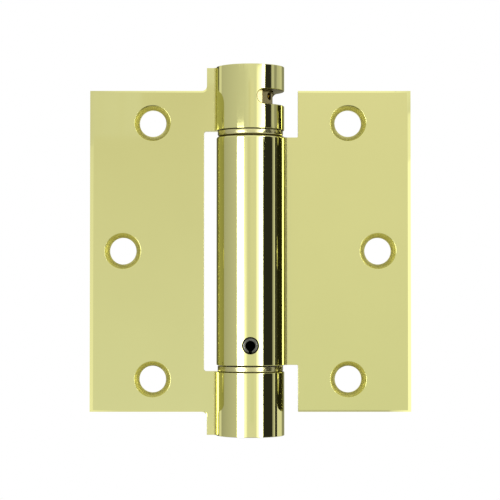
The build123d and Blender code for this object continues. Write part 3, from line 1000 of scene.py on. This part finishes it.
class HINGE_OT_two_knuckle_leaf(bpy.types.Operator):
    """Build the left leaf with a knuckle at each end and the tension slot"""

    bl_idname = "hinge.two_knuckle_leaf"
    bl_label = "Two-knuckle leaf"

    def execute(self, context):
        sizes = context.scene.hinge_sheet_sizes
        brass = finish_named("Bright brass", bright_brass, context)
        corners = knuckle_leaf_corners(sizes)
        leaf = flat_plate("knuckle_leaf_sheet", sizes, -1, sizes.knuckle_leaf_lean, corners)
        stub = (sizes.barrel_radius + sizes.tab_edge) / 2
        top = sizes.column_top
        knuckle_end = top - sizes.knuckle_length
        rims = (sizes.rim_break,) * 2
        rolls = [
            rolled_length("upper_roll", sizes, -1, stub, knuckle_end, top, rims),
            rolled_length("lower_roll", sizes, -1, stub, -top, -knuckle_end, rims),
        ]
        combine(leaf, rolls, "UNION")
        combine(leaf, [slot_cutter(sizes, (top + knuckle_end) / 2)], "DIFFERENCE")
        cut_screw_holes(leaf, sizes, -1, brass)
        polish(leaf, brass)
        seat(leaf, "fixed_leaf", "bright_brass", "two_knuckle_leaf")
        return {"FINISHED"}


class HINGE_OT_barrel_leaf(bpy.types.Operator):
    """Build the right leaf rolled into the long barrel, drilled for the roll pin"""

    bl_idname = "hinge.barrel_leaf"
    bl_label = "Barrel leaf"

    def execute(self, context):
        sizes = context.scene.hinge_sheet_sizes
        turned = context.scene.hinge_turned_sizes
        brass = finish_named("Bright brass", bright_brass, context)
        corners = barrel_leaf_corners(sizes)
        leaf = flat_plate("barrel_leaf_sheet", sizes, 1, sizes.barrel_leaf_lean, corners)
        stub = (sizes.barrel_radius + sizes.notch_edge) / 2
        end = sizes.barrel_end
        rims = (sizes.barrel_foot, sizes.barrel_break)
        roll = rolled_length("barrel_roll", sizes, 1, stub, -end, end, rims)
        combine(leaf, [roll], "UNION")
        cut_screw_holes(leaf, sizes, 1, brass)
        combine(leaf, [pin_drill(sizes, turned)], "DIFFERENCE")
        polish(leaf, brass)
        seat(leaf, "swing_leaf", "bright_brass", "barrel_leaf")
        return {"FINISHED"}


class HINGE_OT_bearings(bpy.types.Operator):
    """Build the two flanged bearings whose rings show at the barrel's ends"""

    bl_idname = "hinge.bearings"
    bl_label = "Bearings"

    def execute(self, context):
        sizes = context.scene.hinge_turned_sizes
        brass = finish_named("Bearing brass", bearing_brass, context)
        # low end, high end, rounding of the ring's lower edge
        upper = (UPPER_RING_LOW.z, UPPER_RING_HIGH.z, sizes.ring_neck)
        lower = (LOWER_RING_LOW.z, LOWER_RING_HIGH.z, sizes.ring_foot)
        rings = (
            ("upper_bearing_ring", upper, "swing_leaf", "upper_bearing"),
            ("lower_bearing_ring", lower, "fixed_leaf", "lower_bearing"),
        )
        for name, (low, high, lower_edge), body, node in rings:
            shoulder = high - sizes.ring_thickness
            corners = [
                (sizes.sleeve_bore, low, sizes.ring_break),
                (sizes.sleeve_radius, low, sizes.ring_break),
                (sizes.sleeve_radius, shoulder, 0),
                (sizes.ring_radius, shoulder, lower_edge),
                (sizes.ring_radius, high, sizes.ring_break),
                (sizes.sleeve_bore, high, sizes.ring_break),
            ]
            ring = turned_solid(name, rounded_path(corners, closed=True), closed=True)
            polish(ring, brass)
            seat(ring, body, "bearing_brass", node)
        return {"FINISHED"}


def adjuster_head(sizes):
    """The adjuster's faceted head, its upper edge rounded."""
    outline = polygon(sizes.head_radius, sizes.head_turn - QUARTER, sizes.head_sides)
    rolls = [[rolled_edge(width)] * len(outline) for width in (sizes.ring_break, sizes.head_break)]
    return rounded_prism("adjuster_turned", outline, sizes.head_low, ADJUSTER_HIGH.z, rolls, upright)


def adjuster_journal(sizes):
    """The journal and the nose below the head, which reach up inside it."""
    low, edge = ADJUSTER_LOW.z, sizes.ring_break
    inside_head = (sizes.head_low + ADJUSTER_HIGH.z) / 2 - sizes.socket_depth / 2
    corners = [
        (0, low, 0),
        (sizes.nose_radius, low, edge),
        (sizes.nose_radius, sizes.journal_low, 0),
        (sizes.journal_radius, sizes.journal_low, edge),
        (sizes.journal_radius, inside_head, 0),
        (0, inside_head, 0),
    ]
    return turned_solid("adjuster_journal", rounded_path(corners, closed=False))


def socket_cutter(sizes):
    """Cutter for the hex socket in the head's top."""
    hexagon = polygon(sizes.socket_flats / sqrt(3), radians(30), 6)
    floor, mouth = ADJUSTER_HIGH.z - sizes.socket_depth, ADJUSTER_HIGH.z + sizes.head_break
    return rounded_prism("socket", hexagon, floor, mouth, square_edges(hexagon), upright)


def fork_cutter(sizes):
    """Cutter for the slot across the nose that holds the coil's tang."""
    reach, half = sizes.head_radius, sizes.tang_slot / 2
    bite = 4 * TUCK
    low, high = ADJUSTER_LOW.z - sizes.ring_break, sizes.journal_low + bite
    return block("fork", (-reach, -half, low), (reach, half, high))


def set_hole_cutters(sizes, material):
    """Cutters for the setting holes round the head."""
    hole = sizes.set_hole_radius
    mouth = -sizes.head_radius - hole
    floor = sizes.set_hole_depth - sizes.head_radius
    profile = [(0, mouth), (hole, mouth), (hole, floor), (0, floor + hole / 2)]
    drill = turned_solid("set_drill", profile, place=facing)
    values = {
        "Cutter": drill,
        "Count": sizes.set_hole_count,
        "Start": sizes.set_hole_start,
        "Height": sizes.set_hole_level,
        "Material": material,
    }
    drills = grown("set_drills", ring_pattern_tree(), values)
    discard(drill)
    return drills


class HINGE_OT_tension_adjuster(bpy.types.Operator):
    """Build the turned adjuster in the upper knuckle, with its socket and setting holes"""

    bl_idname = "hinge.tension_adjuster"
    bl_label = "Tension adjuster"

    def execute(self, context):
        sizes = context.scene.hinge_turned_sizes
        brass = finish_named("Adjuster brass", adjuster_brass, context)
        piece = adjuster_head(sizes)
        combine(piece, [adjuster_journal(sizes)], "UNION")
        cutters = [socket_cutter(sizes), fork_cutter(sizes), set_hole_cutters(sizes, brass)]
        combine(piece, cutters, "DIFFERENCE")
        polish(piece, brass)
        seat(piece, "adjuster", "adjuster_brass", "tension_adjuster")
        return {"FINISHED"}


class HINGE_OT_torsion_spring(bpy.types.Operator):
    """Build the coil inside the barrel"""

    bl_idname = "hinge.torsion_spring"
    bl_label = "Torsion spring"

    def execute(self, context):
        sizes = context.scene.hinge_turned_sizes
        steel = finish_named("Spring steel", spring_steel, context)
        low = SPRING_LOW.z + sizes.wire_radius
        high = SPRING_HIGH.z - sizes.wire_radius
        values = {
            "Coil radius": sizes.coil_radius,
            "Tang reach": sizes.nose_radius - sizes.wire_radius / 4,
            "Low": low,
            "Rise": (high - low) / sizes.coil_turns,
            "Bend": 2 * sizes.wire_radius,
            "Wire radius": sizes.wire_radius,
            "Turns": sizes.coil_turns,
            "Steps": COIL_STEPS,
            "Material": steel,
        }
        coil = grown("spring_coil", coil_tree(), values)
        polish(coil, steel)
        seat(coil, "swing_leaf", "spring_steel", "torsion_spring")
        return {"FINISHED"}


class HINGE_OT_roll_pin(bpy.types.Operator):
    """Build the rolled, slit pin in the barrel's lower front, and give its steel to the anchor"""

    bl_idname = "hinge.roll_pin"
    bl_label = "Roll pin and anchor"

    def execute(self, context):
        sizes = context.scene.hinge_turned_sizes
        steel = finish_named("Pin steel", pin_steel, context)
        outer = sizes.pin_radius
        inner = outer - sizes.pin_wall
        half = sizes.pin_slit / 2
        outer_gap = asin(half / outer)
        inner_gap = asin(half / inner)
        down, around = -QUARTER, 2 * pi - QUARTER
        outline = arc((0, 0), outer, down + outer_gap, around - outer_gap, PIN_STEPS)
        outline += arc((0, 0), inner, around - inner_gap, down + inner_gap, PIN_STEPS)
        middle = PIN_HIGH.z - outer
        outline = [(x, z + middle) for x, z in outline]
        rolls = [rolled_edge(sizes.pin_break)] * PIN_STEPS
        rolls += [rolled_edge(sizes.pin_bore_break)] * (len(outline) - PIN_STEPS)
        pin = rounded_prism("roll_pin_rolled", outline, PIN_LOW.y, PIN_HIGH.y, (rolls, rolls), facing)
        polish(pin, steel)
        seat(pin, "swing_leaf", "pin_steel", "roll_pin")
        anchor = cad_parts["spring_anchor"]
        anchor.material_slots[0].material = steel
        return {"FINISHED"}


class HINGE_OT_bottom_plug(bpy.types.Operator):
    """Build the plug that closes the lower knuckle"""

    bl_idname = "hinge.bottom_plug"
    bl_label = "Bottom plug"

    def execute(self, context):
        sizes = context.scene.hinge_turned_sizes
        brass = finish_named("Plug brass", plug_brass, context)
        low, high, radius = PLUG_LOW.z, PLUG_HIGH.z, PLUG_HIGH.x
        corners = [
            (0, low, 0),
            (radius, low, sizes.plug_break),
            (radius, high, sizes.ring_break),
            (0, high, 0),
        ]
        plug = turned_solid("bottom_plug_turned", rounded_path(corners, closed=False))
        polish(plug, brass)
        seat(plug, "fixed_leaf", "bright_brass", "bottom_plug")
        return {"FINISHED"}


def glow(name, azimuths, heights, corners):
    """Material of a curved card whose light runs smoothly between the colours at its corners.

    corners holds the colours at the low start, the low end, the high start and the high end.
    """
    material = bpy.data.materials.new(name)
    material.use_nodes = True
    tree = material.node_tree
    tree.nodes.remove(tree.nodes["Principled BSDF"])
    spot = add(tree, "ShaderNodeTexCoord").outputs["Object"]
    x, y, z = add(tree, "ShaderNodeSeparateXYZ", {0: spot}).outputs
    lean = sums(tree, "ARCTAN2", x, sums(tree, "MULTIPLY", y, -1.0))
    start, stop = (radians(azimuth) for azimuth in azimuths)
    across = ramp(tree, lean, start, stop)
    up = ramp(tree, z, *heights)
    peak = max(max(corner) for corner in corners)
    tones = [(*(part / peak for part in corner), 1) for corner in corners]
    low_row = mixed(tree, across, tones[0], tones[1])
    high_row = mixed(tree, across, tones[2], tones[3])
    tone = mixed(tree, up, low_row, high_row)
    lamp = put(tree, "ShaderNodeEmission", {"Color": tone, "Strength": peak})
    tree.links.new(lamp, tree.nodes["Material Output"].inputs["Surface"])
    return material


def grey(first, last):
    """Corner colours of a card whose level runs from its start to its end."""
    return [(first,) * 3, (last,) * 3] * 2


def stage_sheet(name, points, faces, material):
    """An open sheet on the stage."""
    mesh = bpy.data.meshes.new(name)
    mesh.from_pydata(points, [], faces)
    mesh.materials.append(material)
    made = new_object(name, mesh)
    return made


def disc(name, reach, depth, material):
    """A level disc under the object."""
    corners = [(x, y, -depth) for x, y in polygon(reach, 0, DISC_STEPS)]
    return stage_sheet(name, corners, [list(range(DISC_STEPS))], material)


def reflect_only(made):
    """Hides a card from all but reflections."""
    made.visible_camera = False
    made.visible_diffuse = False
    made.visible_shadow = False


def card(name, azimuths, heights, distance, corners):
    """A curved upright card round the object, unseen by the camera.

    Azimuth 0 is towards the camera, and more is further to the right.
    """
    points = []
    for step in range(CARD_STEPS + 1):
        lean = radians(azimuths[0] + (azimuths[1] - azimuths[0]) * step / CARD_STEPS)
        points += [(distance * sin(lean), -distance * cos(lean), height) for height in heights]
    faces = [[2 * step, 2 * step + 2, 2 * step + 3, 2 * step + 1] for step in range(CARD_STEPS)]
    reflect_only(stage_sheet(name, points, faces, glow(name, azimuths, heights, corners)))


def under_card(stage):
    """A grey disc under the object that only its reflections show."""
    material = glow("under_card", (-180, 180), (-1, 1), grey(0.25, 0.25))
    depth = stage.floor_depth - stage.under_lift
    reflect_only(disc("under_card", stage.under_reach, depth, material))


def white_world():
    """A white surround to the camera, gloss and glass, and a little lower as light on dull surfaces."""
    world = bpy.data.worlds.new("White surround")
    bpy.context.scene.world = world
    world.use_nodes = True
    tree = world.node_tree
    rays = add(tree, "ShaderNodeLightPath").outputs
    seen = sums(tree, "ADD", rays["Is Camera Ray"], rays["Is Glossy Ray"])
    seen = sums(tree, "MINIMUM", sums(tree, "ADD", seen, rays["Is Transmission Ray"]), 1.0)
    strength = ramp(tree, seen, low=0.8, high=1.0)
    background = tree.nodes["Background"]
    background.inputs["Color"].default_value = (1, 1, 1, 1)
    tree.links.new(strength, background.inputs["Strength"])


def pale_floor(stage):
    """A plain pale floor well below the object."""
    material = bpy.data.materials.new("Pale floor")
    material.use_nodes = True
    shader = material.node_tree.nodes["Principled BSDF"]
    shader.inputs["Base Color"].default_value = (0.9, 0.9, 0.9, 1)
    shader.inputs["Roughness"].default_value = 0.8
    disc("floor", stage.floor_reach, stage.floor_depth, material)


def front_camera(stage):
    """A camera in front of the object, near its mid-height."""
    data = bpy.data.cameras.new("Camera")
    data.sensor_width = 36
    data.lens = stage.lens
    camera = new_object("Camera", data)
    data.shift_x = stage.shift_across
    data.shift_y = stage.shift_up
    away, lift = stage.camera_distance, stage.camera_lift
    camera.location = (0, -away * cos(lift), away * sin(lift))
    camera.rotation_euler = (QUARTER - lift, 0, 0)
    bpy.context.scene.camera = camera


def side_cards(stage):
    """Softboxes, flags and walls round the object, each with its levels at its two ends."""
    full, flag = stage.softbox, stage.flag
    low, high = -stage.card_height, stage.card_height
    barrel_left, barrel_right = (low, stage.left_top), (low, stage.right_top)
    upper_left, upper_right = (stage.left_top, high), (stage.right_top, high)
    # name, azimuths in degrees, heights, levels at the two ends
    bands = (
        ("left_wall", (-115, -45), barrel_left, (0.5, 0.75)),
        ("left_softbox", LEFT_SOFTBOX, barrel_left, (full, full)),
        ("left_softbox_edge", LEFT_FADE, (low, FADE_SPLIT), (FADE_START * full, 1)),
        ("right_softbox_edge", (19, 32), barrel_right, (1, 0.45 * full)),
        ("right_softbox", (32, 42.3), barrel_right, (full, full)),
        ("black_flag", (42.3, 79), barrel_right, (flag, flag)),
        ("right_wall", (79, 91), barrel_right, (0.3, 1.0)),
        ("side_flag", (91, 102), barrel_right, (flag, flag)),
        ("upper_left_wall", (-115, -20), upper_left, (0.64, 0.85)),
        ("upper_left_edge", (-20, -6), upper_left, (0.85, 0.96)),
        ("upper_softbox_edge", (19, 40), upper_right, (1, 0.4 * full)),
        ("upper_softbox", (40, 50), upper_right, (full, full)),
        ("upper_flag", (50, 74), upper_right, (flag, flag)),
        ("upper_right_wall", (74, 82), upper_right, (0.4, 0.85)),
        ("upper_side_wall", (82, 90), upper_right, (0.85, 0.42)),
        ("upper_side_shade", (90, 100), upper_right, (0.42, 0.38)),
        ("upper_back_wall", (100, 130), upper_right, (0.65, 0.87)),
        ("left_back_wall", (-165, -132), (low, high), (0.12, 0.12)),
        ("right_back_wall", (132, 165), (low, high), (0.4, 0.4)),
    )
    for name, azimuths, heights, levels in bands:
        card(name, azimuths, heights, stage.card_distance, grey(*levels))


def left_softbox_fades(stage):
    """Soft edges of the left softbox, beside its upper part and along its top."""
    far, full, top = stage.card_distance, stage.softbox, stage.left_top
    beside = grey(FADE_START * full, 1)[:2] + grey(1.2, 1)[:2]
    card("left_softbox_upper_edge", LEFT_FADE, (FADE_SPLIT, top), far, beside)
    fade = 6 * MM
    nearer = 0.99 * far
    along = [(full,) * 3] * 2 + [(0.8,) * 3] * 2
    card("left_softbox_top", LEFT_SOFTBOX, (top, top + fade), nearer, along)


def front_cards(stage):
    """Pale reflectors in front of the object, warmer at the upper left."""
    far, heights = stage.card_distance, (-0.1, 0.13)
    pale, plain = (0.97, 0.99, 1.02), (0.94, 0.96, 0.91)
    warm, bright = (0.91, 0.89, 0.82), (1.04, 1.02, 0.98)
    card("front_left_reflector", (-9.5, -3), heights, far, [pale, pale, warm, warm])
    card("front_reflector", (-3, 3), heights, far, [pale, plain, warm, bright])
    card("front_right_reflector", (3, 12), heights, far, [plain, plain, bright, bright])


def overhead_cards(stage):
    """A bright card overhead, and its soft lower edge."""
    far, span = stage.card_distance, (-40, 40)
    white, top = (1, 1, 1), (stage.overhead,) * 3
    start, full, end = 0.14, 0.19, 0.45
    card("overhead_edge", span, (start, full), far, [white, white, top, top])
    card("overhead_card", span, (full, end), far, [top] * 4)


class HINGE_OT_stage(bpy.types.Operator):
    """Set the camera, the white surround, the floor and the cards that the brass reflects"""

    bl_idname = "hinge.stage"
    bl_label = "Stage"

    def execute(self, context):
        stage = context.scene.hinge_stage
        context.scene.view_settings.view_transform = "Standard"
        white_world()
        pale_floor(stage)
        front_camera(stage)
        side_cards(stage)
        left_softbox_fades(stage)
        under_card(stage)
        front_cards(stage)
        overhead_cards(stage)
        return {"FINISHED"}


class HINGE_PT_panel(bpy.types.Panel):
    """Buttons that build the hinge, and the sizes and finishes it is built with"""

    bl_idname = "HINGE_PT_panel"
    bl_label = "Spring hinge"
    bl_space_type = "VIEW_3D"
    bl_region_type = "UI"
    bl_category = "Hinge"

    def draw(self, context):
        for operator in OPERATORS:
            self.layout.operator(operator.bl_idname)
        for name in GROUPS:
            box = self.layout.box()
            group = getattr(context.scene, name)
            for key in group.__annotations__:
                box.prop(group, key)


OPERATORS = (
    HINGE_OT_two_knuckle_leaf,
    HINGE_OT_barrel_leaf,
    HINGE_OT_bearings,
    HINGE_OT_tension_adjuster,
    HINGE_OT_torsion_spring,
    HINGE_OT_roll_pin,
    HINGE_OT_bottom_plug,
    HINGE_OT_stage,
)
GROUPS = {
    "hinge_sheet_sizes": HingeSheetSizes,
    "hinge_turned_sizes": HingeTurnedSizes,
    "hinge_finishes": HingeFinishes,
    "hinge_stage": HingeStage,
}


def register():
    """Registers the classes and the scene's settings."""
    for kind in (*GROUPS.values(), *OPERATORS, HINGE_PT_panel):
        bpy.utils.register_class(kind)
    for name, kind in GROUPS.items():
        setattr(bpy.types.Scene, name, PointerProperty(type=kind))


def unregister():
    """Removes the scene's settings and the classes."""
    for name in GROUPS:
        delattr(bpy.types.Scene, name)
    for kind in reversed((*GROUPS.values(), *OPERATORS, HINGE_PT_panel)):
        bpy.utils.unregister_class(kind)


def main():
    """Builds every piece and the stage."""
    register()
    bpy.ops.hinge.two_knuckle_leaf()
    bpy.ops.hinge.barrel_leaf()
    bpy.ops.hinge.bearings()
    bpy.ops.hinge.tension_adjuster()
    bpy.ops.hinge.torsion_spring()
    bpy.ops.hinge.roll_pin()
    bpy.ops.hinge.bottom_plug()
    bpy.ops.hinge.stage()


if __name__ == "__main__":
    main()
